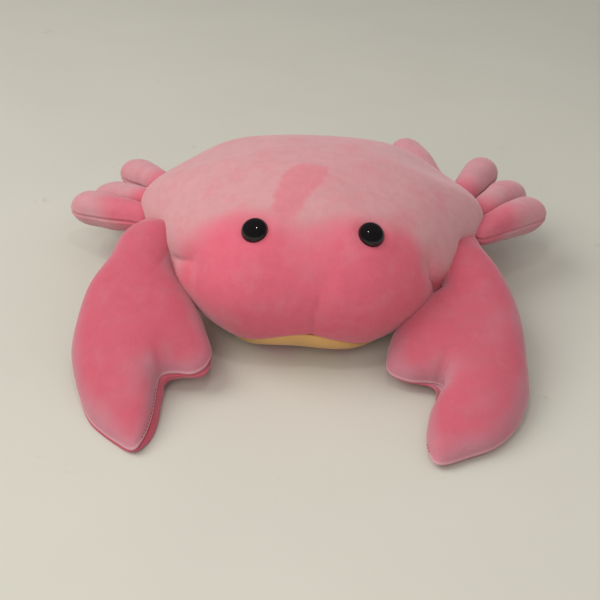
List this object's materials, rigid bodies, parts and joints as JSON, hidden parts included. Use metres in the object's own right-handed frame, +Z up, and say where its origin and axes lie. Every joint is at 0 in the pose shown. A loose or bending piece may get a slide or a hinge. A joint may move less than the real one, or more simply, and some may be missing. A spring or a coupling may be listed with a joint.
{
  "type": "plush crab",
  "caption": "Soft stuffed toy crab of short-pile pink velour with a yellow belly, two claws, paddle legs and glossy black eyes, lying on its flat belly",
  "frame": {"origin": "middle of the belly's flat resting face, on the surface that the toy lies on", "axes": "+Z up out of the back, -Y the way the face looks, +X to the right of the picture"},
  "size_m": [0.3788, 0.3418, 0.115],
  "materials": {
    "velour_top": "short-pile velour",
    "velour_claw": "short-pile velour",
    "velour_leg": "short-pile velour",
    "belly_cloth": "smooth knit",
    "polyester_fibre": "polyester fibre filling",
    "black_plastic": "polished",
    "nylon": "satin"
  },
  "bodies": {
    "root": {"body_cover": "velour_top", "belly_panel": "belly_cloth", "body_stuffing": "polyester_fibre", "eye_left": "black_plastic", "eye_washer_left": "nylon", "eye_right": "black_plastic", "eye_washer_right": "nylon", "claw_left_upper_panel": "velour_claw", "claw_left_under_panel": "velour_claw", "claw_left_stuffing": "polyester_fibre", "claw_right_upper_panel": "velour_claw", "claw_right_under_panel": "velour_claw", "claw_right_stuffing": "polyester_fibre", "leg_left_1_upper_panel": "velour_leg", "leg_left_1_under_panel": "velour_leg", "leg_left_1_stuffing": "polyester_fibre", "leg_left_2_upper_panel": "velour_leg", "leg_left_2_under_panel": "velour_leg", "leg_left_2_stuffing": "polyester_fibre", "leg_left_3_upper_panel": "velour_leg", "leg_left_3_under_panel": "velour_leg", "leg_left_3_stuffing": "polyester_fibre", "leg_left_4_upper_panel": "velour_leg", "leg_left_4_under_panel": "velour_leg", "leg_left_4_stuffing": "polyester_fibre", "leg_right_1_upper_panel": "velour_leg", "leg_right_1_under_panel": "velour_leg", "leg_right_1_stuffing": "polyester_fibre", "leg_right_2_upper_panel": "velour_leg", "leg_right_2_under_panel": "velour_leg", "leg_right_2_stuffing": "polyester_fibre", "leg_right_3_upper_panel": "velour_leg", "leg_right_3_under_panel": "velour_leg", "leg_right_3_stuffing": "polyester_fibre", "leg_right_4_upper_panel": "velour_leg", "leg_right_4_under_panel": "velour_leg", "leg_right_4_stuffing": "polyester_fibre"}
  },
  "joints": []
}
